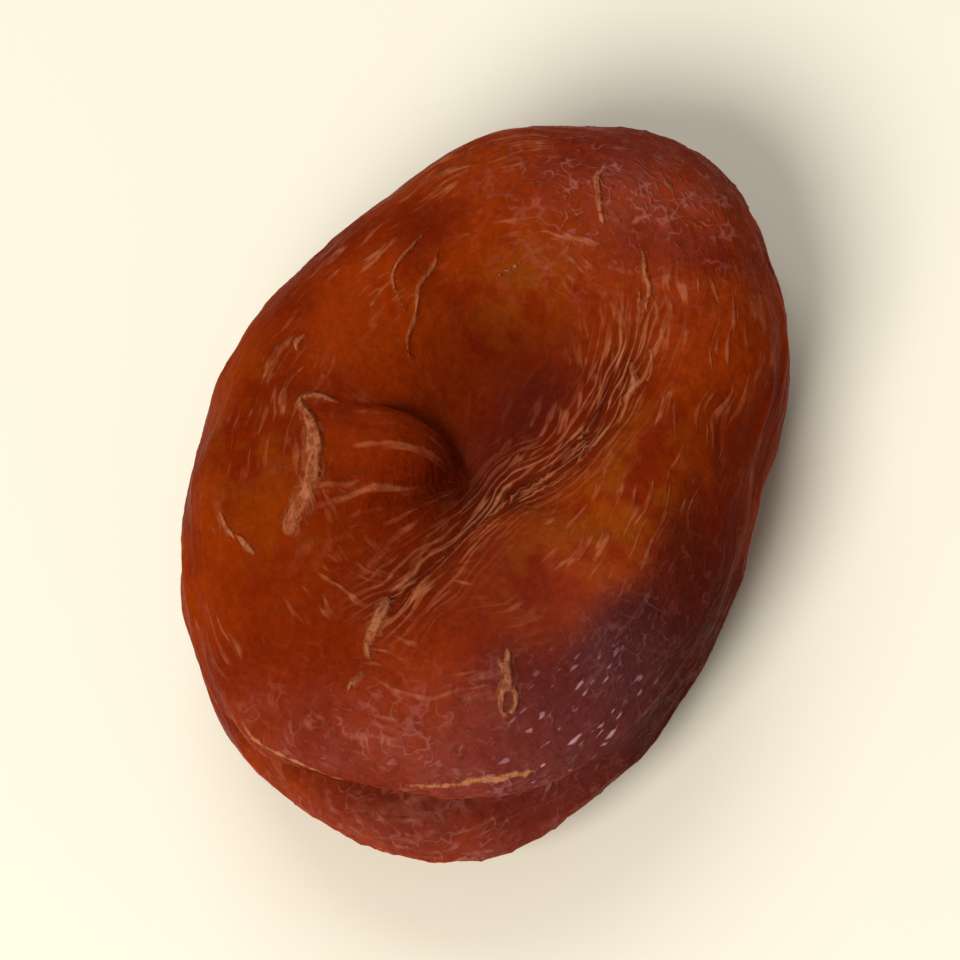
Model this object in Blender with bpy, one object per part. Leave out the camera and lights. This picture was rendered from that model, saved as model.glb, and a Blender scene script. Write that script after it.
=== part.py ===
# A whole sun-dried apricot, its stone pressed out, lying on its underside.
# +X runs along the fruit from the stem end to the tip, and +Z is up, out of the hollow that the stone left.
# Sizes are in millimetres, and MM turns them into metres as the skin's points are placed.

import math

import bmesh
import bpy
import numpy as np
from mathutils import Vector, noise

MM = 0.001

# Driving dimensions of the fruit
LENGTH = 37.5
WIDTH = 27.7
THICKNESS = 13.7
CUTS = 29  # cuts along each edge of the cube that the skin starts from

# Outline seen from above: a full oval, flattened on one shoulder and fuller on the flank across from it
OUTLINE_POWER = 2.27
SHOULDER = {"centre": math.radians(35), "spread": math.radians(36), "reach": -3.0}
FLANK = {"centre": math.radians(-148), "spread": math.radians(39), "reach": 1.75}

# Section through the rim: it is plump, so the wall stands nearly upright
SECTION_POWER = 2.9
FACE_BEGINS = 0.05  # height of a direction, out of 1, where the relief of the upper or under side begins
FACE_FULL = 0.55

# Stem end, where the stone was pressed out: a slit between an upper and a lower lip
SLIT_ANGLE = math.radians(188)
SLIT_REACH = math.radians(28)
SLIT_ENDS = math.radians(-2)  # the slit's height in the wall past its ends
SLIT_ARCH = math.radians(20.5)  # how much higher it runs at its middle
SLIT_DEPTH = 1.5
SLIT_HALF_GAP = math.radians(6)
LOWER_LIP = {"height": 1.3, "below": math.radians(24), "reach": math.radians(22)}
UPPER_LIP = {"height": 0.8, "above": math.radians(17), "reach": math.radians(12)}

# Tip of the fruit: a small puckered dimple in the rim
TIP_ANGLE = math.radians(-6)
TIP_DEPTH = 0.9
TIP_REACH = (1.9, 1.6)

# Hollow of the upper side, with its deepest place, the basin beside it and the lobes that stand round it
PIT = (-2.3, -0.8)
UPPER_MOUNDS = (
    {"centre": (-0.4, -1.4), "reach": (11.5, 6.8), "turn": -0.2, "height": -2.9},
    {"centre": PIT, "reach": (3.2, 2.2), "turn": -0.5, "height": -1.3},
    {"centre": (3.8, 0.7), "reach": (4.6, 3.3), "turn": -0.1, "height": -1.8},
    {"centre": (-6.0, 4.6), "reach": (4.6, 3.4), "turn": 0.1, "height": 1.0},
    {"centre": (0.5, -10.4), "reach": (9.0, 2.8), "turn": 0.1, "height": 0.7},
    {"centre": (-12.6, -4.6), "reach": (3.6, 4.2), "turn": 0.3, "height": 0.8},
)

# Creases and raised folds, each along a curve of one bend from start to end.
# Height is negative for a crease. Roll is the swelling on the curve's left, which leans over the line.
# The first two creases are one long seam, which passes close beside the pit at this point.
SEAM = (-2.8, -3.0)
UPPER_FOLDS = (
    {"start": SEAM, "control": (-7.9, -2.2), "end": (-13.0, 1.0), "width": 1.4, "height": -1.3, "roll": 0.4},
    {"start": SEAM, "control": (0.9, -8.0), "end": (9.5, -6.0), "width": 1.4, "height": -1.3, "roll": 0.4},
    {"start": PIT, "control": (0.4, 2.6), "end": (-2.2, 6.6), "width": 1.3, "height": -1.0, "roll": 1.0},
    {"start": (9.6, 5.4), "control": (6.0, 6.8), "end": (2.6, 3.8), "width": 0.9, "height": 0.5},
    {"start": (-1.2, 8.4), "control": (-4.2, 5.6), "end": (-9.4, 5.8), "width": 0.8, "height": 0.35},
    {"start": (-8.2, 10.8), "control": (-9.2, 9.0), "end": (-10.6, 6.6), "width": 0.7, "height": 0.3},
    {"start": (-10.0, 0.4), "control": (-12.4, -0.4), "end": (-15.6, 0.0), "width": 0.8, "height": 0.35},
    {"start": (-10.8, -6.6), "control": (-12.6, -8.6), "end": (-15.4, -7.6), "width": 0.8, "height": 0.35},
    {"start": (11.2, -4.8), "control": (8.9, -6.6), "end": (6.2, -7.0), "width": 0.8, "height": 0.35},
    {"start": (15.6, -1.6), "control": (12.8, -1.8), "end": (10.4, -3.6), "width": 0.8, "height": 0.35},
)

# Underside: a shallower hollow with creases of its own, also negative into the fruit
UNDER_PIT = (-2.8, -0.6)
UNDER_MOUNDS = (
    {"centre": (-2.0, -1.2), "reach": (10.0, 5.8), "turn": 0.12, "height": -2.3},
    {"centre": UNDER_PIT, "reach": (2.6, 1.8), "turn": 0.4, "height": -0.9},
)
UNDER_FOLDS = (
    {"start": UNDER_PIT, "control": (-7.2, -2.6), "end": (-13.7, -2.4), "width": 1.2, "height": -1.2},
    {"start": UNDER_PIT, "control": (2.8, 0.8), "end": (10.8, -0.2), "width": 1.2, "height": -1.4},
    {"start": UNDER_PIT, "control": (-0.2, -4.2), "end": (-1.8, -8.4), "width": 1.1, "height": -0.9},
)
CREASE_MEETING = 4
LINE_ROUNDING = 0.5  # how blunt a crease or a ridge is, as a share of its width
SWELLING_REACH = 1.8
GATHER = 0.26  # how much of the skin beside a crease is drawn into it
FOLD_LEAN = 0.5  # how far a swelling leans over its line, as a share of its height

# Three flat spots under the fruit, evenly round its middle, pressed level with its lowest points
PAD_COUNT = 3
PAD_TURN = math.radians(28)
PAD_OUT = 0.6  # share of the way out to the rim
PAD_DROP = 0.3
PAD_SPREAD = 0.24
PAD_RADIUS = 2.4
PAD_EDGE = 5.4  # where the pressed skin meets the rest
PRESSED = 0.6

# Unevenness and wrinkles, raised along the skin's own direction
LUMP = {"size": 7.0, "height": 0.42}
RIM_WRINKLE = {"along": 6.5, "across": 1.9, "phase": 5.0, "height": 0.2}
PIT_WRINKLE = {"count": 3.6, "length": 9.0, "middle": 6.0, "spread": 4.2, "height": 0.2}
GATHERED_LOBE = {"turn": math.radians(135), "reach": math.radians(42)}  # seen from the pit
RIDGE_STEEPNESS = 2.2

SKIN_COLOUR = (0.24, 0.035, 0.006, 1.0)
SKIN_ROUGHNESS = 0.42


def smooth_step(low, high, value):
    share = np.clip((value - low) / (high - low), 0.0, 1.0)
    return share * share * (3.0 - 2.0 * share)


def bell(value, centre, reach):
    return np.exp(-(((value - centre) / reach) ** 2))


def angle_from(angle, centre):
    # Signed difference of two angles, between minus and plus half a turn
    return (angle - centre + math.pi) % (2.0 * math.pi) - math.pi


def mound(x, y, centre, reach, turn, height):
    # Rounded bump, with its two reaches along and across the turned axis
    along = (x - centre[0]) * math.cos(turn) + (y - centre[1]) * math.sin(turn)
    across = (y - centre[1]) * math.cos(turn) - (x - centre[0]) * math.sin(turn)
    return height * np.exp(-((along / reach[0]) ** 2) - (across / reach[1]) ** 2)


def from_curve(x, y, start, control, end, samples=48):
    # Signed distance from a curve of one bend, positive on its left, the share of the way along it,
    # and the direction towards it
    share = np.linspace(0.0, 1.0, samples)[:, None]
    route = (1 - share) ** 2 * np.array(start) + 2 * share * (1 - share) * np.array(control)
    route = route + share**2 * np.array(end)
    tangent = np.gradient(route, axis=0)
    tangent /= np.linalg.norm(tangent, axis=1)[:, None]
    dx = x[:, None] - route[None, :, 0]
    dy = y[:, None] - route[None, :, 1]
    nearest = np.argmin(dx**2 + dy**2, axis=1)
    row = np.arange(len(x))
    dx, dy = dx[row, nearest], dy[row, nearest]
    side = tangent[nearest, 0] * dy - tangent[nearest, 1] * dx
    distance = np.hypot(dx, dy) + 1e-6
    return np.copysign(distance, side), share[nearest, 0], (-dx / distance, -dy / distance)


def fold(x, y, start, control, end, width, height, roll=0.0):
    # A line that is sharp at its bottom or top and fades at its far end, with the swelling beside it.
    # Returns the rise of the line, that of the swelling, and the skin's shift along x and along y: away from
    # its start the swelling leans over the line, and the skin on both sides of a crease is gathered into it.
    gap, share, toward = from_curve(x, y, start, control, end)
    fade = smooth_step(0.0, 0.6, 1.0 - share)
    if height > 0:
        fade = fade * smooth_step(0.0, 0.35, share)
    line = height * np.exp(LINE_ROUNDING - np.sqrt((gap / width) ** 2 + LINE_ROUNDING**2))
    left = np.clip(gap / SWELLING_REACH, 0.0, None)
    swelling = roll * left * np.exp(1.0 - left) * fade * smooth_step(0.0, 0.15, share)
    shift = FOLD_LEAN * swelling
    if height < 0:
        shift = shift + GATHER * np.abs(gap) * np.exp(1.0 - np.abs(gap) / width) * fade
    shift = shift * smooth_step(0.0, 0.3, share)
    return fade * line, swelling, shift * toward[0], shift * toward[1]


def outline_radius(angle):
    # Distance of the outline from the middle, looking down on the fruit
    half_length, half_width = LENGTH / 2.0, WIDTH / 2.0
    along = np.abs(np.cos(angle)) / half_length
    across = np.abs(np.sin(angle)) / half_width
    radius = (along**OUTLINE_POWER + across**OUTLINE_POWER) ** (-1.0 / OUTLINE_POWER)
    for each in (SHOULDER, FLANK):
        radius = radius + each["reach"] * bell(angle_from(angle, each["centre"]), 0.0, each["spread"])
    return radius


def rim_offset(angle, rise):
    # How far the wall stands in or out: the two lips with the slit between them, and the tip's dimple
    round_stem = angle_from(angle, SLIT_ANGLE) / SLIT_REACH
    near_stem = np.exp(-(np.abs(round_stem) ** 3))
    middle = SLIT_ENDS + SLIT_ARCH * np.exp(-(round_stem**2))
    slit = -SLIT_DEPTH * near_stem * np.exp(-(np.abs((rise - middle) / SLIT_HALF_GAP) ** 1.5))
    lower = bell(rise, middle - LOWER_LIP["below"], LOWER_LIP["reach"])
    upper = bell(rise, middle + UPPER_LIP["above"], UPPER_LIP["reach"])
    lips = LOWER_LIP["height"] * lower * np.exp(-(round_stem**2)) + UPPER_LIP["height"] * upper * near_stem
    round_tip = LENGTH / 2.0 * angle_from(angle, TIP_ANGLE)
    tip = TIP_DEPTH * bell(round_tip, 0.0, TIP_REACH[0]) * bell(THICKNESS / 2.0 * rise, 0.0, TIP_REACH[1])
    return slit + lips - tip


def relief(x, y, mounds, folds):
    # Everything that rises or falls on one side of the fruit, and the shift of its skin along x and y.
    # Where creases meet they don't add up: together they go little deeper than the deepest one.
    rise = sum(mound(x, y, **each) for each in mounds)
    depth = shift_x = shift_y = 0.0
    for each in folds:
        line, swelling, along_x, along_y = fold(x, y, **each)
        if each["height"] < 0:
            depth = depth + line**CREASE_MEETING
        else:
            rise = rise + line
        rise = rise + swelling
        shift_x, shift_y = shift_x + along_x, shift_y + along_y
    return rise - depth ** (1.0 / CREASE_MEETING), shift_x, shift_y


def fruit_form(direction):
    # The plump form with its hollows and folds, for each direction out of the middle of the fruit
    angle = np.arctan2(direction[:, 1], direction[:, 0])
    level = np.hypot(direction[:, 0], direction[:, 1])
    lift = direction[:, 2]
    rise = np.arctan2(lift, level)
    plump = (level**SECTION_POWER + np.abs(lift) ** SECTION_POWER) ** (-1.0 / SECTION_POWER)
    radius = outline_radius(angle) * level * plump + rim_offset(angle, rise) * level**2
    x = radius * np.cos(angle)
    y = radius * np.sin(angle)
    z = THICKNESS / 2.0 * lift * plump
    above, above_x, above_y = relief(x, y, UPPER_MOUNDS, UPPER_FOLDS)
    below, below_x, below_y = relief(x, y, UNDER_MOUNDS, UNDER_FOLDS)
    way_out = 2.0 * np.hypot(x / LENGTH, y / WIDTH)
    pads = np.clip(np.cos(PAD_COUNT * (angle - PAD_TURN)), 0.0, None) * bell(way_out, PAD_OUT, PAD_SPREAD)
    below = below + PAD_DROP * pads
    on_top = smooth_step(FACE_BEGINS, FACE_FULL, lift)
    beneath = smooth_step(FACE_BEGINS, FACE_FULL, -lift)
    x = x + above_x * on_top + below_x * beneath
    y = y + above_y * on_top + below_y * beneath
    return np.stack([x, y, z + above * on_top - below * beneath], axis=1)


def ridged(x, y, z):
    # Rounded ridges between narrow valleys, from -1 to 1
    return 1.0 - 2.0 * min(1.0, RIDGE_STEEPNESS * abs(noise.noise(Vector((x, y, z)))))


def rim_wrinkle(x, y, z, level):
    # Long wrinkles that run round the rim
    along = RIM_WRINKLE["along"]
    share = max(0.0, level**3 - 0.15)
    ridge = ridged(x / along, y / along, z / RIM_WRINKLE["across"] + RIM_WRINKLE["phase"])
    return RIM_WRINKLE["height"] * share * ridge


def pit_wrinkle(x, y, level):
    # Wrinkles that run out of the pit over one lobe, strongest half way up its slope
    round_pit = math.atan2(y - PIT[1], x - PIT[0])
    out = math.hypot(x - PIT[0], y - PIT[1])
    count = PIT_WRINKLE["count"]
    ridge = ridged(count * math.cos(round_pit), count * math.sin(round_pit), out / PIT_WRINKLE["length"])
    off_lobe = abs(angle_from(round_pit, GATHERED_LOBE["turn"]) / GATHERED_LOBE["reach"])
    share = math.exp(-(off_lobe**3)) * bell(out, PIT_WRINKLE["middle"], PIT_WRINKLE["spread"])
    share = share * (1.0 - level**4)
    return PIT_WRINKLE["height"] * share * ridge


def unevenness(point, direction):
    # How far the skin stands out at one point: broad lumps and both sorts of wrinkle
    x, y, z = point
    level = math.hypot(direction[0], direction[1])
    lumps = LUMP["height"] * noise.noise(point / LUMP["size"])
    return lumps + rim_wrinkle(x, y, z, level) + pit_wrinkle(x, y, level)


def lay_down(points):
    # Presses the fruit's underside flat at the lowest level and on three spots, and moves it over the origin
    low, high = points.min(axis=0), points.max(axis=0)
    x, y, z = points.T
    z = z - low[2] - PRESSED
    underside = z < THICKNESS / 3.0
    for pad in range(PAD_COUNT):
        angle = PAD_TURN + 2.0 * math.pi * pad / PAD_COUNT
        out = PAD_OUT * outline_radius(angle)
        gap = np.hypot(x - out * math.cos(angle), y - out * math.sin(angle))
        press = smooth_step(0.0, PAD_EDGE - PAD_RADIUS, PAD_EDGE - gap)
        z = np.where(underside, z * (1.0 - press), z)
    x, y = x - (low[0] + high[0]) / 2.0, y - (low[1] + high[1]) / 2.0
    return np.stack([x, y, np.maximum(z, 0.0)], axis=1)


def skin_material():
    material = bpy.data.materials.new("dried_apricot_skin")
    material.use_nodes = True
    shader = material.node_tree.nodes["Principled BSDF"]
    shader.inputs["Base Color"].default_value = SKIN_COLOUR
    shader.inputs["Roughness"].default_value = SKIN_ROUGHNESS
    shader.inputs["Metallic"].default_value = 0.0
    return material


def ball_of_squares(mesh):
    # A cube with an even grid on each side, blown up to a ball
    bmesh.ops.create_cube(mesh, size=2.0)
    bmesh.ops.subdivide_edges(mesh, edges=mesh.edges[:], cuts=CUTS, use_grid_fill=True)
    for vertex in mesh.verts:
        even = [math.tan(value * math.pi / 4.0) for value in vertex.co]
        vertex.co = Vector(even).normalized()


def build_apricot():
    mesh = bmesh.new()
    ball_of_squares(mesh)
    direction = np.array([vertex.co[:] for vertex in mesh.verts])
    form = fruit_form(direction)
    for vertex, place in zip(mesh.verts, form):
        vertex.co = place
    mesh.normal_update()
    points = [
        vertex.co + vertex.normal * unevenness(vertex.co, way)
        for vertex, way in zip(mesh.verts, direction)
    ]
    points = lay_down(np.array(points))
    for vertex, place in zip(mesh.verts, points):
        vertex.co = Vector(place) * MM
    skin = bpy.data.meshes.new("dried_apricot")
    mesh.to_mesh(skin)
    mesh.free()
    skin.shade_smooth()
    skin.materials.append(skin_material())
    return bpy.data.objects.new("dried_apricot", skin)


def main():
    for old in list(bpy.data.objects):
        bpy.data.objects.remove(old)
    collection = bpy.data.collections.new("dried_apricot")
    bpy.context.scene.collection.children.link(collection)
    collection.objects.link(build_apricot())


main()
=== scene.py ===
# Dried apricot: a finer skin over the imported fruit, with its wrinkles, colours and bloom, and with shade,
# sheen and highlights painted into its colours.
# Sizes are millimetres in the fruit's own frame unless a line says metres: +X is the tip, -X the stem end.
import math
from functools import partial

import bmesh
import bpy
import numpy as np
from mathutils import Matrix, Vector, noise


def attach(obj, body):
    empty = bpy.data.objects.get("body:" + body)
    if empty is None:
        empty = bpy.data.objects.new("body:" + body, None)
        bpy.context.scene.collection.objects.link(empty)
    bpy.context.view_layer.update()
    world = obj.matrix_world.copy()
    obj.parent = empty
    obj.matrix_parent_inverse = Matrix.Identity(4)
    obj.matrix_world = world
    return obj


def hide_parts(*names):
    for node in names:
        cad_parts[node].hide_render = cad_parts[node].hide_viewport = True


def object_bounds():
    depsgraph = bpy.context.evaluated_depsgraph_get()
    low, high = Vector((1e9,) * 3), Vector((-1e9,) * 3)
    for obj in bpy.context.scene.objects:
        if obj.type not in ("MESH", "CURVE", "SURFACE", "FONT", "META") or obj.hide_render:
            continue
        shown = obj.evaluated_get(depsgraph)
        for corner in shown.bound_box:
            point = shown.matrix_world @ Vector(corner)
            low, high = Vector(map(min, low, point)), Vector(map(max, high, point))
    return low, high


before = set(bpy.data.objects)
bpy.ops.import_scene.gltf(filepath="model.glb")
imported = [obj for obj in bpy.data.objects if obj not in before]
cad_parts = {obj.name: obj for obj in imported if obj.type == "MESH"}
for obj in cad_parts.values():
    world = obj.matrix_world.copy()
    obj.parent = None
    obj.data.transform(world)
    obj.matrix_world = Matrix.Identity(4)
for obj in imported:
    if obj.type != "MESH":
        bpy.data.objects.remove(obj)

mm = 0.001
cadBox = [list(corner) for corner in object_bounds()]
print("frame loaded, CAD box in metres:", cadBox)


# Small maths that every piece of the relief uses

def smoothStep(low, high, value):
    share = np.clip((value - low) / (high - low), 0.0, 1.0)
    return share * share * (3.0 - 2.0 * share)


def bell(value, centre, reach):
    return np.exp(-(((value - centre) / reach) ** 2))


def angleFrom(angle, centreDegrees):  # signed, within half a turn
    return (angle - math.radians(centreDegrees) + math.pi) % (2 * math.pi) - math.pi


def mound(x, y, centre, reach, turn, height):
    along = (x - centre[0]) * math.cos(turn) + (y - centre[1]) * math.sin(turn)
    across = (y - centre[1]) * math.cos(turn) - (x - centre[0]) * math.sin(turn)
    return height * np.exp(-((along / reach[0]) ** 2) - (across / reach[1]) ** 2)


def noiseAt(x, y, z):
    return np.array([noise.noise(place) for place in np.stack(np.broadcast_arrays(x, y, z), axis=1).tolist()])


def ridged(x, y, z, steepness=2.2):  # broad ridges between narrow valleys, -1 to 1
    return 1.0 - 2.0 * np.minimum(1.0, steepness * np.abs(noiseAt(x, y, z)))


def threads(x, y, z, thin):  # thin raised lines on smooth skin, 0 to 1
    return np.clip(1.0 - np.abs(noiseAt(x, y, z)) / thin, 0.0, 1.0) ** 1.5


def fromCurve(x, y, start, control, end, samples=64):
    # distance from a curve of one bend (positive on its left), millimetres along it, its length, way to it
    share = np.linspace(0.0, 1.0, samples)[:, None]
    route = (1 - share) ** 2 * np.array(start) + 2 * share * (1 - share) * np.array(control)
    route = route + share**2 * np.array(end)
    tangent = np.gradient(route, axis=0)
    tangent /= np.linalg.norm(tangent, axis=1)[:, None]
    steps = np.linalg.norm(np.diff(route, axis=0), axis=1)
    lengthTo = np.concatenate([[0.0], np.cumsum(steps)])
    nearest = np.zeros(len(x), dtype=int)
    best = np.full(len(x), np.inf)
    for index, (px, py) in enumerate(route):
        distance = (x - px) ** 2 + (y - py) ** 2
        closer = distance < best
        nearest[closer] = index
        best[closer] = distance[closer]
    dx, dy = x - route[nearest, 0], y - route[nearest, 1]
    tx, ty = tangent[nearest, 0], tangent[nearest, 1]
    slide = dx * tx + dy * ty  # how far past the nearest sample
    inside = (nearest > 0) & (nearest < samples - 1)
    dx, dy = np.where(inside, dx - slide * tx, dx), np.where(inside, dy - slide * ty, dy)
    gap = np.hypot(dx, dy) + 1e-6
    along = lengthTo[nearest] + np.where(inside, slide, 0.0)
    side = tx * (y - route[nearest, 1]) - ty * (x - route[nearest, 0])
    return np.copysign(gap, side), along, lengthTo[-1], (-dx / gap, -dy / gap)


# The plump form, as the CAD solid has it, with sharper creases on a finer grid

fruit = {
    "length": 37.5, "width": 27.7, "thickness": 13.7,
    "cuts": 127,                  # along each edge of the starting cube: 196,608 triangles
    "outlinePower": 2.27,
    "sectionPower": 2.9,
    "shoulder": {"centre": 35.0, "spread": 36.0, "reach": -3.0},     # degrees and mm
    "flank": {"centre": -148.0, "spread": 39.0, "reach": 1.75},
    "faceBegins": 0.05, "faceFull": 0.55,     # where the upper and lower face take over from the rim, 0 to 1
    "hollowDepth": 6.0,
    "creaseMeeting": 4, "lineRounding": 0.5, "swellingReach": 1.8, "gather": 0.26, "lean": 0.5,
}

slit = {                          # degrees round the fruit and up its wall
    "angle": 188.0, "reach": 28.0, "ends": -2.0, "arch": 20.5,
    "depth": 1.5, "halfGap": 5.0,
    "lowerHeight": 1.3, "lowerBelow": 24.0, "lowerReach": 22.0,
    "upperHeight": 0.8, "upperAbove": 17.0, "upperReach": 12.0,
}

tip = {"angle": -6.0, "depth": 0.9, "reachAround": 1.9, "reachUp": 1.6}

pit = (-2.3, -0.8)
seamNode = (-2.8, -3.0)           # the seam passes beside the pit
seamShape = {"width": 1.3, "height": -1.1, "roll": 0.4}

upperSide = {
    "mounds": (
        {"centre": (-0.4, -1.4), "reach": (11.5, 6.8), "turn": -0.2, "height": -2.9},
        {"centre": pit, "reach": (3.2, 2.2), "turn": -0.5, "height": -1.3},
        {"centre": (3.8, 0.7), "reach": (4.6, 3.3), "turn": -0.1, "height": -1.8},
        {"centre": (-6.0, 4.6), "reach": (4.6, 3.4), "turn": 0.1, "height": 1.0},
        {"centre": (0.5, -10.4), "reach": (9.0, 2.8), "turn": 0.1, "height": 0.7},
        {"centre": (-12.6, -4.6), "reach": (3.6, 4.2), "turn": 0.3, "height": 0.8},
    ),
    "folds": (
        {"start": seamNode, "control": (-7.9, -2.2), "end": (-13.0, 1.0), **seamShape},
        {"start": seamNode, "control": (0.9, -8.0), "end": (9.5, -6.0), **seamShape},
        {"start": pit, "control": (0.4, 2.6), "end": (-2.2, 6.6), "width": 1.1, "height": -0.8, "roll": 1.0},
        {"start": (9.6, 5.4), "control": (6.0, 6.8), "end": (2.6, 3.8), "width": 0.9, "height": 0.5},
    ),
}

underPit = (-2.8, -0.6)

underSide = {
    "mounds": (
        {"centre": (-2.0, -1.2), "reach": (10.0, 5.8), "turn": 0.12, "height": -2.3},
        {"centre": underPit, "reach": (2.6, 1.8), "turn": 0.4, "height": -0.9},
    ),
    "folds": (
        {"start": underPit, "control": (-7.2, -2.6), "end": (-13.7, -2.4), "width": 1.1, "height": -1.2},
        {"start": underPit, "control": (2.8, 0.8), "end": (10.8, -0.2), "width": 1.1, "height": -1.4},
        {"start": underPit, "control": (-0.2, -4.2), "end": (-1.8, -8.4), "width": 1.0, "height": -0.9},
    ),
}

pads = {                          # the three spots that the fruit lies on
    "count": 3, "turn": 28.0, "out": 0.6, "drop": 0.3, "spread": 0.24,
    "radius": 2.4, "edge": 5.4, "pressed": 0.6,
}


def fold(x, y, start, control, end, width, height, roll=0.0):
    # the rise of the line, that of the swelling beside it, and how the skin shifts along x and y
    gap, along, length, toward = fromCurve(x, y, start, control, end)
    share = along / length
    fade = smoothStep(0.0, 0.6, 1.0 - share)
    if height > 0:
        fade = fade * smoothStep(0.0, 0.35, share)
    rounding = fruit["lineRounding"]
    line = height * np.exp(rounding - np.sqrt((gap / width) ** 2 + rounding**2))
    left = np.clip(gap / fruit["swellingReach"], 0.0, None)
    swelling = roll * left * np.exp(1.0 - left) * fade * smoothStep(0.0, 0.15, share)
    shift = fruit["lean"] * swelling
    if height < 0:
        shift = shift + fruit["gather"] * np.abs(gap) * np.exp(1.0 - np.abs(gap) / width) * fade
    shift = shift * smoothStep(0.0, 0.3, share)
    return fade * line, swelling, shift * toward[0], shift * toward[1]


def reliefOf(side, x, y):
    rise = sum(mound(x, y, **each) for each in side["mounds"])
    depth = shiftX = shiftY = 0.0
    for each in side["folds"]:
        line, swelling, alongX, alongY = fold(x, y, **each)
        if each["height"] < 0:
            depth = depth + line ** fruit["creaseMeeting"]
        else:
            rise = rise + line
        rise = rise + swelling
        shiftX, shiftY = shiftX + alongX, shiftY + alongY
    return rise - depth ** (1.0 / fruit["creaseMeeting"]), shiftX, shiftY


def outlineRadius(angle):
    along = np.abs(np.cos(angle)) / (fruit["length"] / 2)
    across = np.abs(np.sin(angle)) / (fruit["width"] / 2)
    power = fruit["outlinePower"]
    radius = (along**power + across**power) ** (-1.0 / power)
    for each in (fruit["shoulder"], fruit["flank"]):
        away = angleFrom(angle, each["centre"])
        radius = radius + each["reach"] * bell(away, 0.0, math.radians(each["spread"]))
    return radius


def slitLevel(angle):  # how high the slit runs in the wall, radians
    arch = bell(angleFrom(angle, slit["angle"]), 0.0, math.radians(slit["reach"]))
    return math.radians(slit["ends"]) + math.radians(slit["arch"]) * arch


def nearStem(angle):
    return np.exp(-(np.abs(angleFrom(angle, slit["angle"]) / math.radians(slit["reach"])) ** 3))


def rimOffset(angle, rise):
    level = slitLevel(angle)
    stem = nearStem(angle)
    roundStem = bell(angleFrom(angle, slit["angle"]), 0.0, math.radians(slit["reach"]))
    cut = -slit["depth"] * stem * np.exp(-(np.abs((rise - level) / math.radians(slit["halfGap"])) ** 1.5))
    lower = bell(rise, level - math.radians(slit["lowerBelow"]), math.radians(slit["lowerReach"]))
    upper = bell(rise, level + math.radians(slit["upperAbove"]), math.radians(slit["upperReach"]))
    lips = slit["lowerHeight"] * lower * roundStem + slit["upperHeight"] * upper * stem
    roundTip = fruit["length"] / 2 * angleFrom(angle, tip["angle"])
    upTip = fruit["thickness"] / 2 * rise
    dimple = tip["depth"] * bell(roundTip, 0.0, tip["reachAround"]) * bell(upTip, 0.0, tip["reachUp"])
    return cut + lips - dimple


def plumpForm(direction):
    # where each direction out of the middle of the fruit meets its plump form, and what the skin knows there
    angle = np.arctan2(direction[:, 1], direction[:, 0])
    level = np.hypot(direction[:, 0], direction[:, 1])
    lift = direction[:, 2]
    rise = np.arctan2(lift, level)
    power = fruit["sectionPower"]
    plump = (level**power + np.abs(lift) ** power) ** (-1.0 / power)
    radius = outlineRadius(angle) * level * plump + rimOffset(angle, rise) * level**2
    x, y = radius * np.cos(angle), radius * np.sin(angle)
    z = fruit["thickness"] / 2 * lift * plump
    above, aboveX, aboveY = reliefOf(upperSide, x, y)
    below, belowX, belowY = reliefOf(underSide, x, y)
    wayOut = 2.0 * np.hypot(x / fruit["length"], y / fruit["width"])
    padTurns = np.clip(np.cos(pads["count"] * (angle - math.radians(pads["turn"]))), 0.0, None)
    below = below + pads["drop"] * padTurns * bell(wayOut, pads["out"], pads["spread"])
    onTop = smoothStep(fruit["faceBegins"], fruit["faceFull"], lift)
    beneath = smoothStep(fruit["faceBegins"], fruit["faceFull"], -lift)
    skin = {
        "angle": angle, "level": level, "lift": lift, "rise": rise, "wayOut": wayOut, "x": x, "y": y, "z": z,
        "onTop": onTop, "hollow": np.clip(-above / fruit["hollowDepth"], 0.0, 1.0) * onTop,
    }
    x = x + aboveX * onTop + belowX * beneath
    y = y + aboveY * onTop + belowY * beneath
    z = z + above * onTop - below * beneath
    return np.stack([x, y, z], axis=1), skin


# Where the skin differs: every field is 0 to 1 at each point, or a flow that lines follow

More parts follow.
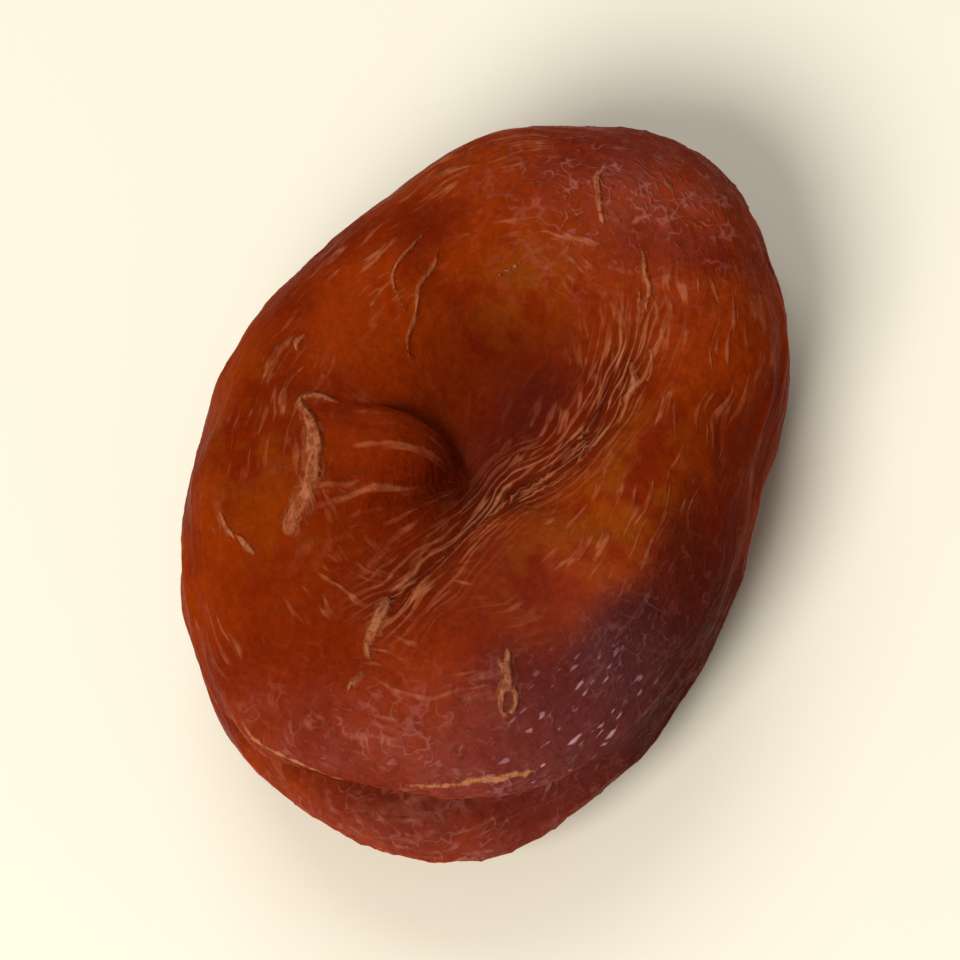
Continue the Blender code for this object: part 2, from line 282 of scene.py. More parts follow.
marks = {                         # angles in degrees, the rest in mm
    "blotchSize": 4.5, "patchSize": 9.0, "wobbleSize": 2.2,     # of the noise that makes edges uneven
    "seamReach": 2.2, "seamOther": 1.7,     # band of fine lines on the near and far side of the crease
    "fanned": {"gap": 1.4, "reach": 1.5, "from": (-1.0, 1.5), "to": (14.0, 9.0)},    # lines leaving the seam
    "lobe": {"angle": 135.0, "spread": 42.0, "out": 4.6, "reach": 3.6},              # seen from the pit
    "lip": {                                # the painted highlight along the edge of the upper lip, and the break in it
        "middle": 187.5, "half": 22.0, "ends": 3.0, "break": 4.5,
        "height": 24.0, "arch": 5.5, "archAt": 198.0, "archReach": 11.0, "reach": 1.0,
    },
    "purple": {"angle": -124.0, "spread": 33.0, "begins": 0.76, "full": 0.93},       # shares of the way out
    # the side where violet sheen and glints are painted
    "violetGlint": {"angle": -141.0, "spread": 20.0, "rise": 24.0, "reach": 26.0},
    "upperLip": {"rise": 17.0, "reach": 12.0}, "lowerLip": {"rise": -26.0, "reach": 22.0},    # from the slit
    "slitHalf": 5.5,
    "pinkTip": {"centre": (14.4, -4.5), "reach": (4.0, 5.6), "turn": 0.0, "height": 1.0},
    "crinkledTip": {"centre": (13.2, -3.4), "reach": (4.4, 6.4), "turn": 0.0, "height": 0.6},
    "gold": (
        {"centre": (7.1, -0.2), "reach": (3.0, 2.0), "turn": -0.3, "height": 1.0},
        {"centre": (-1.6, -10.2), "reach": (4.6, 2.2), "turn": 0.1, "height": 0.9},
        {"centre": (-6.2, -7.0), "reach": (4.0, 2.0), "turn": 0.0, "height": 0.7},
        {"centre": (-9.6, 5.6), "reach": (3.6, 2.6), "turn": 0.4, "height": 0.3},
        {"centre": (-4.6, 9.6), "reach": (4.4, 2.4), "turn": 0.5, "height": 0.5},
    ),
    "redder": (
        {"centre": (-14.4, 2.8), "reach": (4.2, 5.0), "turn": 0.0, "height": 0.8},
        {"centre": (-12.6, -6.2), "reach": (3.2, 2.8), "turn": 0.4, "height": 0.6},
    ),
    "redLobeShade": {"centre": (-8.0, 2.4), "reach": (6.0, 5.0), "turn": 0.0, "height": 0.85},
    # where shade is painted into the basin by the pit
    "basinShade": {"centre": (1.4, -2.2), "reach": (4.6, 1.9), "turn": -0.25, "height": 0.8},
    "streakSway": 0.45, "swaySize": 1.6,
    "streaks": (                            # pale streaks painted as highlights over raised ridges: start, control and end of each, half width
        ((-2.0, 5.9), (-1.4, 7.6), (-2.6, 7.6), 0.20),
        ((-2.3, 7.4), (-4.0, 6.0), (-6.0, 5.9), 0.44),
        ((-5.4, 5.8), (-7.2, 5.3), (-9.0, 5.6), 0.60),
        ((-8.6, 9.9), (-9.2, 9.2), (-9.8, 8.3), 0.18),
        ((-9.5, 8.4), (-10.0, 7.9), (-10.2, 7.2), 0.18),
        ((-10.6, 0.1), (-11.6, -0.4), (-13.2, -0.2), 0.56),
        ((-12.6, 0.1), (-13.2, -0.2), (-14.0, -0.6), 0.26),
        ((-14.6, -0.3), (-15.2, 0.2), (-15.7, 0.1), 0.18),
        ((-11.8, -7.2), (-12.4, -7.8), (-13.3, -7.6), 0.28),
        ((-12.2, -6.8), (-12.5, -7.2), (-12.8, -7.7), 0.14),
        ((-13.1, -7.5), (-13.9, -7.0), (-14.7, -7.7), 0.22),
        ((-13.1, -7.7), (-14.0, -8.6), (-14.7, -7.8), 0.22),
        ((10.6, -5.2), (8.9, -6.6), (7.2, -6.8), 0.16),
        ((4.9, -7.0), (3.8, -8.2), (2.4, -7.7), 0.34),
        ((14.6, -2.0), (12.8, -1.8), (11.3, -3.1), 0.18),
        ((8.5, 5.3), (4.9, 6.3), (3.9, 4.8), 0.13),
        ((7.9, 4.0), (4.6, 4.6), (2.2, 3.9), 0.14),
        ((8.4, 0.2), (7.9, 1.0), (7.2, 1.5), 0.12),
        ((1.2, 9.0), (0.8, 9.1), (0.3, 9.0), 0.14),
        ((5.6, -7.9), (4.5, -8.6), (3.3, -8.8), 0.12),
        ((1.3, -5.3), (-0.2, -6.4), (-1.4, -6.6), 0.13),
        ((8.7, -5.9), (7.8, -6.3), (7.0, -6.5), 0.12),
    ),
}


def seamFlow(x, y):
    # one seam out of the two creases that meet beside the pit: gap grows towards +Y, along towards +X
    first, second = upperSide["folds"][0], upperSide["folds"][1]
    gapA, alongA, lengthA, _ = fromCurve(x, y, first["start"], first["control"], first["end"])
    gapB, alongB, lengthB, _ = fromCurve(x, y, second["start"], second["control"], second["end"])
    stemward = np.abs(gapA) < np.abs(gapB)
    gap = np.where(stemward, -gapA, gapB)
    along = np.where(stemward, -alongA, alongB)
    share = np.where(stemward, alongA / lengthA, alongB / lengthB)
    reach = np.where(gap < 0, marks["seamReach"], marks["seamOther"])
    return gap, along, smoothStep(0.0, 0.35, 1.0 - share) * np.exp(-(np.abs(gap / reach) ** 2.5))


def streakFlow(x, y):
    # how far the nearest highlight streak's edge is (0 on its middle line, 1 at its edge), and the way along
    # it
    size, sway = marks["swaySize"], marks["streakSway"]
    wobbleX, wobbleY = sway * noiseAt(x / size, y / size, 7.0), sway * noiseAt(x / size, y / size, 17.0)
    nearest, way = np.full(len(x), 4.0), np.zeros(len(x))
    for order, (start, control, end, halfWidth) in enumerate(marks["streaks"]):
        gap, along, length, _ = fromCurve(x + wobbleX, y + wobbleY, start, control, end, samples=24)
        share = along / length
        taper = 0.35 + 0.65 * np.sin(math.pi * np.clip(share, 0.0, 1.0)) ** 0.7
        away = np.abs(gap) / (halfWidth * taper)
        closer = away < nearest
        nearest = np.where(closer, away, nearest)
        way = np.where(closer, along + 20.0 * order, way)
    return nearest, way


# where the highlight along the edge of the upper lip is painted
def lipLine(angle, rise):
    line = marks["lip"]
    along = np.degrees(angleFrom(angle, line["middle"]))
    shown = smoothStep(line["half"] + line["ends"], line["half"], np.abs(along))
    shown = shown * (1.0 - bell(along, 0.0, line["break"]))
    level = line["height"] + line["arch"] * bell(along, line["archAt"] - line["middle"], line["archReach"])
    return shown * bell(np.degrees(rise), level, line["reach"])


def meridianTo(lift):
    # millimetres down the surface from the top of the fruit, over its rim to the underside
    power, turns = fruit["sectionPower"], np.linspace(0.0, math.pi, 400)
    level, up = np.sin(turns), np.cos(turns)
    plump = (level**power + np.abs(up) ** power) ** (-1.0 / power)
    halfWidth = (fruit["length"] + fruit["width"]) / 4
    out, height = halfWidth * level * plump, fruit["thickness"] / 2 * up * plump
    steps = np.hypot(np.diff(out), np.diff(height))
    return np.interp(np.arccos(np.clip(lift, -1.0, 1.0)), turns, np.concatenate([[0.0], np.cumsum(steps)]))


def fanSector(roundPit):
    away = angleFrom(roundPit, marks["lobe"]["angle"]) / math.radians(marks["lobe"]["spread"])
    return np.exp(-(np.abs(away) ** 3))


def unevenness(skin, size, phase):
    return noiseAt(skin["x"] / size, skin["y"] / size, skin["z"] / size + phase)


def skinFields(skin):
    x, y, angle = skin["x"], skin["y"], skin["angle"]
    wayOut, onTop, rise = skin["wayOut"], skin["onTop"], skin["rise"]
    blotch = unevenness(skin, marks["blotchSize"], 0.0)
    patch = unevenness(skin, marks["patchSize"], 31.0)
    wobble = unevenness(skin, marks["wobbleSize"], 11.0)
    gap, along, seamBand = seamFlow(x, y)
    roundPit, out = np.arctan2(y - pit[1], x - pit[0]), np.hypot(x - pit[0], y - pit[1])
    stem = nearStem(angle)
    fromSlit = rise - slitLevel(angle)

    side = marks["purple"]
    purpleSide = np.exp(-(np.abs(angleFrom(angle, side["angle"]) / math.radians(side["spread"])) ** 3))
    purple = smoothStep(side["begins"], side["full"], wayOut + 0.12 * blotch + 0.06 * patch) * purpleSide
    otherWall = smoothStep(0.15, 0.5, patch + 0.3 * blotch) * smoothStep(0.85, 1.0, wayOut) * 0.6
    purple = np.maximum(purple, otherWall * (1.0 - onTop * 0.5))
    side = marks["violetGlint"]
    violetGlint = bell(angleFrom(angle, side["angle"]), 0.0, math.radians(side["spread"]))
    violetGlint = violetGlint * bell(rise, math.radians(side["rise"]), math.radians(side["reach"]))
    # where pink is painted at the tip and on both lips of the slit: partly the skin's own bloom, partly
    # painted sheen
    pinkSheen = mound(x, y, **marks["pinkTip"]) * smoothStep(-0.3, 0.3, skin["lift"])
    for each in (marks["upperLip"], marks["lowerLip"]):
        band = bell(fromSlit, math.radians(each["rise"]), math.radians(each["reach"]))
        pinkSheen = np.maximum(pinkSheen, stem * band)
    gold = sum(mound(x, y, **each) for each in marks["gold"])

    fan = bell(out, marks["lobe"]["out"], marks["lobe"]["reach"]) * (0.15 + 0.85 * fanSector(roundPit))
    ring = smoothStep(0.36, 0.56, wayOut) * (1.0 - 0.8 * seamBand * onTop)
    ring = ring * (1.0 - 0.4 * smoothStep(0.85, 1.05, wayOut))
    line = marks["fanned"]
    fanned = bell(gap, line["gap"], line["reach"])
    fanned = fanned * smoothStep(*line["from"], along) * smoothStep(*line["to"], along)
    highlightStreak, streakWay = streakFlow(x, y)
    pitTurn = roundPit + 0.06 * blotch
    return {
        "seamGap": gap + 0.25 * wobble, "seamAlong": along,
        "seam": seamBand * onTop, "fanned": fanned * onTop,
        "pitX": np.cos(pitTurn), "pitY": np.sin(pitTurn), "pitOut": out, "pit": fan * onTop,
        "ringX": np.cos(angle), "ringY": np.sin(angle), "ringOut": meridianTo(skin["lift"]) + 0.5 * wobble,
        "ring": ring, "stem": stem, "wall": smoothStep(0.80, 0.97, wayOut),
        # share of the slit, where its shade is painted
        "slit": stem * bell(fromSlit, 0.0, math.radians(marks["slitHalf"])),
        "lip": lipLine(angle, rise + 0.035 * wobble + 0.05 * blotch),
        "purple": np.clip(purple, 0.0, 1.0), "violetGlint": violetGlint,
        "pinkSheen": np.clip(pinkSheen, 0.0, 1.0), "gold": np.clip(gold, 0.0, 1.0) * onTop,
        "highlightStreak": np.where(skin["lift"] > 0, highlightStreak, 4.0), "streakWay": streakWay,
    }


# Relief of the skin: the CAD solid's own wrinkles first, then finer ones

relief = {
    "lump": {"size": 7.0, "height": 0.42},
    "rim": {"along": 6.5, "across": 1.9, "phase": 5.0, "height": 0.16},
    "pit": {"count": 3.6, "length": 9.0, "middle": 6.0, "spread": 4.2, "height": 0.16},
    "soft": {"size": 3.4, "height": 0.12},
    "small": {"size": 1.5, "height": 0.05},
    "seamLines": {"across": 0.9, "along": 7.0, "thin": 0.26, "height": 0.24},
    "fanLines": {"count": 6.5, "out": 5.0, "thin": 0.20, "height": 0.08},
    "ringLines": {"count": 2.6, "across": 0.9, "thin": 0.18, "height": 0.05},
    "rimLines": {"along": 5.0, "up": 0.9, "thin": 0.16, "height": 0.07},
    "net": {"size": 1.15, "thin": 0.13, "height": 0.08, "warp": 0.5, "warpSize": 2.0},
    "highlightStreak": {"height": 0.14},
}


def skinHeight(form, skin, fields):
    x, y, z = form.T
    level = skin["level"]
    lump, rim, fromPit = relief["lump"], relief["rim"], relief["pit"]
    height = lump["height"] * noiseAt(x / lump["size"], y / lump["size"], z / lump["size"])
    rimShare = np.clip(level**3 - 0.15, 0.0, None)
    ridge = ridged(x / rim["along"], y / rim["along"], z / rim["across"] + rim["phase"])
    height += rim["height"] * rimShare * ridge
    roundPit, out = np.arctan2(y - pit[1], x - pit[0]), np.hypot(x - pit[0], y - pit[1])
    count = fromPit["count"]
    ridge = ridged(count * np.cos(roundPit), count * np.sin(roundPit), out / fromPit["length"])
    share = bell(out, fromPit["middle"], fromPit["spread"]) * (1.0 - level**4) * fanSector(roundPit)
    height += fromPit["height"] * share * ridge
    soft, small = relief["soft"], relief["small"]
    height += soft["height"] * noiseAt(x / soft["size"], y / soft["size"], z / soft["size"] + 9.0)
    height += small["height"] * noiseAt(x / small["size"], y / small["size"], z / small["size"] + 3.0)
    print("  broad relief done")

    line = relief["seamLines"]
    place = fields["seamGap"] / line["across"], fields["seamAlong"] / line["along"], 2.0
    height += line["height"] * fields["seam"] * threads(*place, line["thin"])
    line = relief["fanLines"]
    place = line["count"] * fields["pitX"], line["count"] * fields["pitY"], out / line["out"]
    height += line["height"] * fields["pit"] * threads(*place, line["thin"])
    line = relief["ringLines"]
    roundX, roundY = line["count"] * fields["ringX"], line["count"] * fields["ringY"]
    crest = threads(roundX, roundY, fields["ringOut"] / line["across"], line["thin"])
    height += line["height"] * fields["ring"] * crest
    line = relief["rimLines"]
    crest = threads(x / line["along"], y / line["along"], z / line["up"] + 21.0, line["thin"])
    fields["rimCrest"] = fields["wall"] * (0.45 + 0.55 * fields["stem"]) * crest
    height += line["height"] * fields["rimCrest"]
    net = relief["net"]
    warp = net["warp"] * noiseAt(x / net["warpSize"], y / net["warpSize"], z / net["warpSize"] + 5.0)
    crest = threads((x + warp) / net["size"], (y - warp) / net["size"], z / net["size"] + 41.0, net["thin"])
    crinkled = mound(skin["x"], skin["y"], **marks["crinkledTip"]) + 0.04
    fields["netMask"] = np.clip(0.9 * fields["pinkSheen"] + 0.5 * fields["purple"] + crinkled, 0.0, 1.0)
    height += net["height"] * fields["netMask"] * crest
    height += relief["highlightStreak"]["height"] * smoothStep(1.2, 0.3, fields["highlightStreak"]) * skin["onTop"]
    print("  fine relief done")
    return height


def layDown(points):
    # pressed flat on three spots, over the CAD solid's place
    low, high = points.min(axis=0), points.max(axis=0)
    shift = (np.array(cadBox[0]) + np.array(cadBox[1])) / (2.0 * mm) - (low + high) / 2.0
    x, y, z = points.T
    z = z - low[2] - pads["pressed"]
    underside = z < fruit["thickness"] / 3.0
    for pad in range(pads["count"]):
        angle = math.radians(pads["turn"]) + 2.0 * math.pi * pad / pads["count"]
        out = pads["out"] * float(outlineRadius(np.array([angle]))[0])
        gap = np.hypot(x - out * math.cos(angle), y - out * math.sin(angle))
        press = smoothStep(0.0, pads["edge"] - pads["radius"], pads["edge"] - gap)
        z = np.where(underside, z * (1.0 - press), z)
    return np.stack([x + shift[0], y + shift[1], np.maximum(z, 0.0)], axis=1)


def moveVertices(mesh, places):
    for vertex, place in zip(mesh.verts, places):
        vertex.co = place


def addField(data, name, *values):  # three numbers at each point, for the material
    packed = np.stack(values, axis=1).astype(np.float32).ravel()
    data.attributes.new(name, "FLOAT_VECTOR", "POINT").data.foreach_set("vector", packed)


def makeSkin():
    mesh = bmesh.new()
    bmesh.ops.create_cube(mesh, size=2.0)
    bmesh.ops.subdivide_edges(mesh, edges=mesh.edges[:], cuts=fruit["cuts"], use_grid_fill=True)
    cube = np.array([vertex.co[:] for vertex in mesh.verts])
    ball = np.tan(cube * math.pi / 4.0)       # even squares all round
    direction = ball / np.linalg.norm(ball, axis=1)[:, None]
    form, skin = plumpForm(direction)
    print("  plump form done,", len(form), "points")
    fields = skinFields(skin)
    print("  fields done")
    moveVertices(mesh, form.tolist())
    mesh.normal_update()
    normals = np.array([vertex.normal[:] for vertex in mesh.verts])
    height = skinHeight(form, skin, fields)
    points = layDown(form + normals * height[:, None])
    moveVertices(mesh, (points * mm).tolist())
    data = bpy.data.meshes.new("apricotSkin")
    mesh.to_mesh(data)
    mesh.free()
    data.shade_smooth()
    addField(data, "fleshTone", *fleshTone(skin, fields))
    addField(data, "seamFlow", fields["seamGap"], fields["seamAlong"], fields["seam"])
    addField(data, "fanFlow", fields["pitX"], fields["pitY"], fields["pitOut"])
    addField(data, "ringFlow", fields["ringX"], fields["ringY"], fields["ringOut"])
    addField(data, "edges", fields["violetGlint"], fields["fanned"], fields["rimCrest"])
    addField(data, "bands", fields["pit"], fields["ringBand"], fields["netMask"])
    addField(data, "highlightStreak", fields["highlightStreak"], fields["streakWay"], fields["lip"])
    addField(data, "bloomAndSheen", fields["purple"], fields["breaks"], fields["pinkSheen"])
    piece = bpy.data.objects.new("apricot_skin", data)
    bpy.context.scene.collection.objects.link(piece)
    return piece


# Tones of the flesh under the fine lines, worked out at each point of the skin, with painted shade and sheen
# among them

skinLook = {                                    # linear colours
    # Among these, the darkest tone is painted shade for the hollow and the slit; the pink is partly the
    # skin's bloom and partly painted sheen; the pale violet-white is painted glints; the pale tan tones are
    # partly bloom and partly painted highlights and glints on streaks and fine lines.
    "orange": (0.200, 0.0200, 0.0005), "amber": (0.190, 0.0350, 0.0010), "red": (0.130, 0.0095, 0.0005),
    "paintedShade": (0.055, 0.0040, 0.0008), "purple": (0.048, 0.0048, 0.0030), "pinkSheen": (0.180, 0.0320, 0.0200),
    "violet": (0.200, 0.0850, 0.0950), "tan": (0.380, 0.1150, 0.0420), "highlightStreak": (0.380, 0.1500, 0.0600),
    "violetGlint": (0.420, 0.2300, 0.2600), "rose": (0.280, 0.0760, 0.0500),
    "sizes": {                                  # of the patches of noise, mm
        "cloud": 6.0, "fineCloud": 2.6, "mottle": 1.7, "fineMottle": 0.8, "breaks": 0.9, "ringGaps": 3.2,
    },
    "roughness": 0.32, "specular": 0.006,
    "glow": 0.35, "glowRadius": (1.0, 0.22, 0.06), "glowScale": 0.0016,    # metres
    "bumps": {"fine": 0.10, "seam": 0.09, "fan": 0.05, "ring": 0.06, "net": 0.06, "highlightStreak": 0.10},    # mm
    "strokes": {                                # how many to a unit of each flow's three numbers
        "seam": (2.6, 0.35, 0.0), "fan": (10.0, 10.0, 0.4), "ring": (5.5, 5.5, 2.6),
        "net": (26.0, 26.0, 4.2), "sparks": (20.0, 20.0, 3.4), "fanned": (2.8, 0.5, 1.0),
    },
    "fannedTurn": 18.0,                         # degrees from the seam
    "combHalf": 0.25, "combSway": 1.2,          # long fibres of the seam: half their spacing, mm
}


def mixTone(tone, name, share):
    return tone + (np.array(skinLook[name]) - tone) * np.clip(share, 0.0, 1.0)[:, None]


def fleshTone(skin, fields):
    x, y, sizes = skin["x"], skin["y"], skinLook["sizes"]
    cloud = unevenness(skin, sizes["cloud"], 3.0) + 0.4 * unevenness(skin, sizes["fineCloud"], 5.0)
    mottle = unevenness(skin, sizes["mottle"], 8.0) + 0.6 * unevenness(skin, sizes["fineMottle"], 2.0)
    fields["breaks"] = smoothStep(-0.25, 0.35, unevenness(skin, sizes["breaks"], 60.0) + 0.4 * cloud)
    fields["ringBand"] = fields["ring"] * smoothStep(-0.35, 0.25, unevenness(skin, sizes["ringGaps"], 70.0))
    tone = np.tile(skinLook["red"], (len(x), 1))
    tone = mixTone(tone, "orange", smoothStep(-0.40, 0.20, cloud))
    # darker red over this lobe: partly its own tone, partly painted shade where the key light falls strongest
    tone = mixTone(tone, "red", mound(x, y, **marks["redLobeShade"]) * skin["onTop"])
    tone = mixTone(tone, "amber", fields["gold"] * smoothStep(-0.45, 0.25, mottle))
    tone = mixTone(tone, "red", 0.45 * smoothStep(0.0, 0.6, -mottle))
    # painted shade: the deeper in the hollow of the upper face, the darker
    tone = mixTone(tone, "paintedShade", 0.70 * smoothStep(0.15, 0.90, skin["hollow"]))
    for each in marks["redder"]:
        tone = mixTone(tone, "red", mound(x, y, **each) * skin["onTop"])
    tone = mixTone(tone, "purple", fields["purple"] * (0.80 + 0.20 * smoothStep(-0.5, 0.2, cloud)))
    # painted shade in the basin, in the dark purple tone
    shadedBasin = mound(x, y, **marks["basinShade"]) * skin["onTop"]
    tone = mixTone(tone, "purple", shadedBasin * (0.7 + 0.3 * smoothStep(-0.5, 0.3, mottle)))
    # painted violet sheen
    tone = mixTone(tone, "violet", 0.22 * fields["violetGlint"] * (0.6 + 0.4 * smoothStep(-0.5, 0.5, cloud)))
    # painted pink sheen, partly the skin's own bloom
    tone = mixTone(tone, "pinkSheen", fields["pinkSheen"] * (0.30 + 0.34 * smoothStep(-0.3, 0.4, mottle)))
    # painted shade along the crease of the seam
    tone = mixTone(tone, "purple", 0.35 * fields["seam"])
    # painted shade down in the slit
    tone = mixTone(tone, "paintedShade", 0.4 * fields["slit"])
    return tone.T


# Material of the skin

class NodeBench:
    # short ways to add and join shader nodes in one tree
    def __init__(self, tree):
        self.tree = tree

    def plug(self, socket, value):
        if isinstance(value, bpy.types.NodeSocket):
            self.tree.links.new(value, socket)
        elif isinstance(value, tuple) and len(value) == 3 and socket.type == "RGBA":
            socket.default_value = (*value, 1.0)
        else:
            socket.default_value = value

    def maths(self, operation, first, second=0.0, third=0.0):
        node = self.tree.nodes.new("ShaderNodeMath")
        node.operation = operation
        for socket, value in zip(node.inputs, (first, second, third)):
            self.plug(socket, value)
        return node.outputs[0]

    def span(self, value, low, high, toLow=0.0, toHigh=1.0):
        node = self.tree.nodes.new("ShaderNodeMapRange")
        node.interpolation_type = "SMOOTHSTEP"
        names = "Value", "From Min", "From Max", "To Min", "To Max"
        for name, given in zip(names, (value, low, high, toLow, toHigh)):
            self.plug(node.inputs[name], given)
        return node.outputs["Result"]

    def mix(self, share, first, second, blend="MIX"):
        node = self.tree.nodes.new("ShaderNodeMix")
        node.data_type, node.blend_type, node.clamp_factor = "RGBA", blend, True
        self.plug(node.inputs[0], share)
        self.plug(node.inputs[6], first)
        self.plug(node.inputs[7], second)
        return node.outputs[2]

    def field(self, name):
        node = self.tree.nodes.new("ShaderNodeAttribute")
        node.attribute_name = name
        return node.outputs["Vector"]

    def split(self, vector):
        node = self.tree.nodes.new("ShaderNodeSeparateXYZ")
        self.plug(node.inputs[0], vector)
        return node.outputs[0], node.outputs[1], node.outputs[2]

    def join(self, x, y, z):
        node = self.tree.nodes.new("ShaderNodeCombineXYZ")
        for socket, value in zip(node.inputs, (x, y, z)):
            self.plug(socket, value)
        return node.outputs[0]

    def stretch(self, vector, scale):
        node = self.tree.nodes.new("ShaderNodeMapping")
        self.plug(node.inputs["Vector"], vector)
        node.inputs["Scale"].default_value = scale
        return node.outputs[0]

    def noise(self, vector, scale, detail=0.0, roughness=0.5):
        node = self.tree.nodes.new("ShaderNodeTexNoise")
        self.plug(node.inputs["Vector"], vector)
        for name, value in (("Scale", scale), ("Detail", detail), ("Roughness", roughness)):
            node.inputs[name].default_value = value
        return node.outputs["Fac"]

    def strokes(self, field, scale, low=0.54, high=0.68):  # short lines along a flow, 0 to 1
        return self.span(self.noise(self.stretch(field, scale), 1.0, 1.0, 0.6), low, high)

    def bump(self, height):  # height in millimetres
        node = self.tree.nodes.new("ShaderNodeBump")
        node.inputs["Strength"].default_value = 1.0
        node.inputs["Distance"].default_value = 0.001
        self.plug(node.inputs["Height"], height)
        return node.outputs[0]


def skinMaterial():
    material = bpy.data.materials.new("driedApricotSkin")
    material.use_nodes = True
    tree = material.node_tree
    shader = tree.nodes["Principled BSDF"]
    bench = NodeBench(tree)
    times, most = partial(bench.maths, "MULTIPLY"), partial(bench.maths, "MAXIMUM")
    coordinates = tree.nodes.new("ShaderNodeTexCoord").outputs["Object"]
    place = bench.stretch(coordinates, (1000.0, 1000.0, 1000.0))      # millimetres
    colour = bench.field("fleshTone")
    purple, breaks, pinkSheen = bench.split(bench.field("bloomAndSheen"))
    violetGlint, fanned, rimCrest = bench.split(bench.field("edges"))
    fanBand, ringBand, netBand = bench.split(bench.field("bands"))
    streakEdge, streakWay, lip = bench.split(bench.field("highlightStreak"))
    seamField, fanField, ringField = bench.field("seamFlow"), bench.field("fanFlow"), bench.field("ringFlow")
    bumps, strokes = skinLook["bumps"], skinLook["strokes"]
    grain = bench.noise(place, 2.4, 2.0, 0.6)
    mottle = bench.span(grain, 0.30, 0.70, 0.90, 1.10)

    # pale wrinkle lines along each flow, and crinkles where the skin is drawn tight; their paleness is partly
    # the skin's dry bloom and partly painted glints on the ridges
    seamGap, seamAlong, seam = bench.split(seamField)
    sway = bench.noise(bench.stretch(seamField, (0.5, 0.30, 0.0)), 1.0, 1.0)
    swayed = bench.maths("MULTIPLY_ADD", sway, skinLook["combSway"], seamGap)
    comb = bench.span(bench.maths("PINGPONG", swayed, skinLook["combHalf"]), 0.12, 0.0)
    combShown = bench.span(bench.noise(bench.stretch(seamField, (1.6, 0.22, 0.0)), 1.0), 0.34, 0.54)
    seamLines = times(most(times(comb, combShown), bench.strokes(seamField, strokes["seam"])), seam)
    fanLines = times(bench.strokes(fanField, strokes["fan"]), fanBand)
    ringLines = times(bench.strokes(ringField, strokes["ring"]), ringBand)
    away = bench.maths("ABSOLUTE", bench.maths("SUBTRACT", bench.noise(place, 0.95, 1.0, 0.6), 0.5))
    crinkles = times(bench.span(away, 0.050, 0.010), bench.span(breaks, 0.1, 0.7, 0.3, 1.0))
    netLines = times(most(bench.strokes(ringField, strokes["net"], 0.56, 0.70), crinkles), netBand)
    pale = most(times(fanLines, 0.50), times(ringLines, bench.span(purple, 0.0, 1.0, 0.60, 0.30)))
    # paler rim crests: partly bloom, partly painted glints
    pale = most(pale, times(bench.span(rimCrest, 0.2, 0.9), 0.15))
    patchy = times(bench.span(grain, 0.30, 0.60, 0.5, 1.0), bench.span(breaks, 0.0, 1.0, 0.4, 1.0))
    colour = bench.mix(1.0, colour, bench.join(mottle, mottle, mottle), "MULTIPLY")
    netTint = bench.mix(violetGlint, skinLook["rose"], skinLook["violet"])
    colour = bench.mix(times(pale, patchy), colour, bench.mix(most(pinkSheen, purple), skinLook["tan"], netTint))
    netShown = times(patchy, bench.span(purple, 0.0, 1.0, 0.75, 0.35))
    colour = bench.mix(times(netLines, netShown), colour, netTint)
    turn = math.radians(skinLook["fannedTurn"])
    across = bench.maths("SUBTRACT", times(seamGap, math.cos(turn)), times(seamAlong, math.sin(turn)))
    forward = bench.maths("ADD", times(seamAlong, math.cos(turn)), times(seamGap, math.sin(turn)))
    fannedLines = times(bench.strokes(bench.join(across, forward, 3.0), strokes["fanned"]), fanned)
    colour = bench.mix(times(fannedLines, 0.6), colour, bench.mix(0.5, skinLook["pinkSheen"], skinLook["tan"]))
    colour = bench.mix(times(seamLines, bench.span(grain, 0.30, 0.60, 0.6, 0.9)), colour, skinLook["tan"])
    # painted violet glints on the fine lines
    sparks = times(bench.strokes(ringField, strokes["sparks"], 0.62, 0.72), bench.span(violetGlint, 0.35, 0.95))
    colour = bench.mix(times(sparks, 0.8), colour, skinLook["violetGlint"])

    # pale streaks painted as highlights over raised ridges, with fibres along them and ragged edges, and the
    # painted highlight along the edge of the slit's upper lip
    edge = bench.maths("ADD", streakEdge, bench.span(grain, 0.25, 0.75, -0.6, 0.6))
    fibres = bench.noise(bench.join(times(streakEdge, 2.2), times(streakWay, 0.7), 0.0), 1.0, 1.0)
    highlightStreak = times(bench.span(edge, 1.2, 0.4), bench.span(fibres, 0.30, 0.60, 0.3, 1.0))
    lipEdge = bench.span(bench.maths("ADD", lip, bench.span(grain, 0.25, 0.75, -0.45, 0.20)), 0.25, 0.85)
    highlightStreak = times(highlightStreak, bench.span(grain, 0.36, 0.60, 0.25, 0.75))
    colour = bench.mix(most(highlightStreak, times(lipEdge, 0.75)), colour, skinLook["highlightStreak"])
    bench.plug(shader.inputs["Base Color"], colour)

    low, high = skinLook["roughness"] - 0.06, skinLook["roughness"] + 0.10
    rough = bench.maths("ADD", bench.span(grain, 0.3, 0.7, low, high), times(highlightStreak, 0.3))
    bench.plug(shader.inputs["Roughness"], rough)
    shader.inputs["Specular IOR Level"].default_value = skinLook["specular"]
    shader.inputs["Subsurface Weight"].default_value = skinLook["glow"]
    shader.inputs["Subsurface Radius"].default_value = skinLook["glowRadius"]
    shader.inputs["Subsurface Scale"].default_value = skinLook["glowScale"]

    height = times(bench.noise(place, 1.7, 2.0, 0.6), bumps["fine"])
    streakBump = bench.span(streakEdge, 1.2, 0.4)
    heights = (seamLines, "seam"), (fanLines, "fan"), (ringLines, "ring"), (netLines, "net"), (streakBump, "highlightStreak")
    for lines, amount in heights:
        height = bench.maths("MULTIPLY_ADD", lines, bumps[amount], height)
    bench.plug(shader.inputs["Normal"], bench.bump(height))
    return material


print("making the skin")
apricot = makeSkin()
apricot.data.materials.append(skinMaterial())
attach(apricot, "root")
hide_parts("dried_apricot")
print("skin done")


# Floor, light and camera

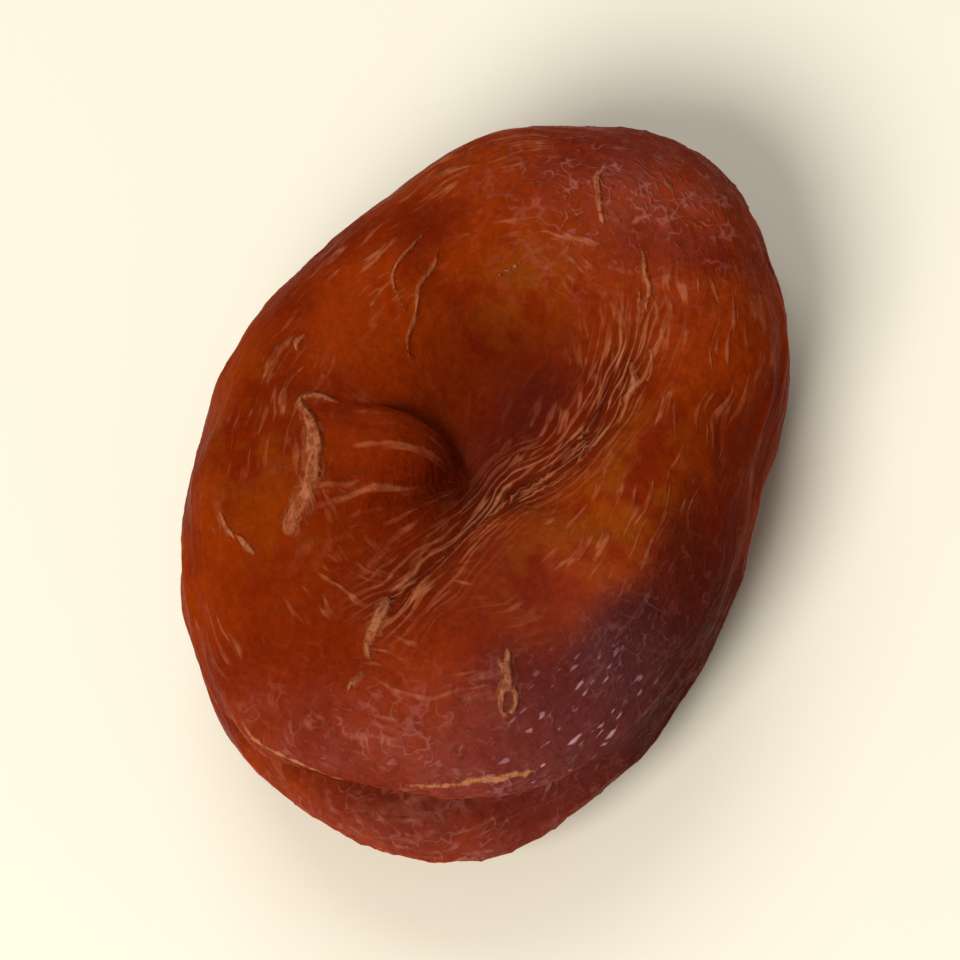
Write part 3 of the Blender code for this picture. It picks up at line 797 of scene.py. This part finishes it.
stage = {
    "floorSize": 3.0, "floorColour": (0.76, 0.705, 0.58), "floorRoughness": 0.7,      # metres, linear colour
    "worldColour": (1.0, 0.975, 0.93), "worldStrength": 0.28,
}

lights = {                       # degrees, metres and watts
    "keyLight": {
        "side": -92.0, "height": 46.0, "away": 0.60, "size": 0.36, "power": 4.3, "colour": (1.0, 0.985, 0.95),
    },
    "fillLight": {
        "side": 120.0, "height": 50.0, "away": 0.70, "size": 0.55, "power": 2.2, "colour": (0.94, 0.97, 1.0),
    },
}

view = {                         # degrees and metres
    "side": -44.0, "height": 64.0, "roll": -27.0,
    "away": 0.40, "aim": (0.0, 0.0, 0.006), "halfHeight": 0.0238,
}


def directionOf(side, height):  # side 0 looks along +Y
    side, height = math.radians(side), math.radians(height)
    return Vector((math.sin(side) * math.cos(height), -math.cos(side) * math.cos(height), math.sin(height)))


def addFloor():
    mesh = bmesh.new()
    bmesh.ops.create_grid(mesh, x_segments=1, y_segments=1, size=stage["floorSize"] / 2)
    data = bpy.data.meshes.new("floor")
    mesh.to_mesh(data)
    mesh.free()
    floor = bpy.data.objects.new("floor", data)
    bpy.context.scene.collection.objects.link(floor)
    material = bpy.data.materials.new("paleFloor")
    material.use_nodes = True
    shader = material.node_tree.nodes["Principled BSDF"]
    shader.inputs["Base Color"].default_value = (*stage["floorColour"], 1.0)
    shader.inputs["Roughness"].default_value = stage["floorRoughness"]
    shader.inputs["Specular IOR Level"].default_value = 0.2
    data.materials.append(material)


def addLight(name, side, height, away, size, power, colour):
    lamp = bpy.data.lights.new(name, "AREA")
    lamp.shape, lamp.size, lamp.energy, lamp.color = "DISK", size, power, colour
    holder = bpy.data.objects.new(name, lamp)
    direction = directionOf(side, height)
    turn = (-direction).to_track_quat("-Z", "Y").to_matrix().to_4x4()
    holder.matrix_world = Matrix.Translation(direction * away) @ turn
    bpy.context.scene.collection.objects.link(holder)


def addWorld():
    world = bpy.data.worlds.new("softRoom")
    world.use_nodes = True
    background = world.node_tree.nodes["Background"]
    background.inputs["Color"].default_value = (*stage["worldColour"], 1.0)
    background.inputs["Strength"].default_value = stage["worldStrength"]
    bpy.context.scene.world = world


def addCamera():
    lens = bpy.data.cameras.new("camera")
    lens.angle = 2.0 * math.atan(view["halfHeight"] / view["away"])
    lens.clip_start = 0.01
    holder = bpy.data.objects.new("camera", lens)
    direction = directionOf(view["side"], view["height"])
    turn = (-direction).to_track_quat("-Z", "Y").to_matrix().to_4x4()
    roll = Matrix.Rotation(math.radians(view["roll"]), 4, "Z")
    holder.matrix_world = Matrix.Translation(Vector(view["aim"]) + direction * view["away"]) @ turn @ roll
    bpy.context.scene.collection.objects.link(holder)
    bpy.context.scene.camera = holder


addFloor()
for lightName, settings in lights.items():
    addLight(lightName, **settings)
addWorld()
addCamera()
bpy.context.scene.view_settings.view_transform = "Standard"
print("floor, light and camera done")
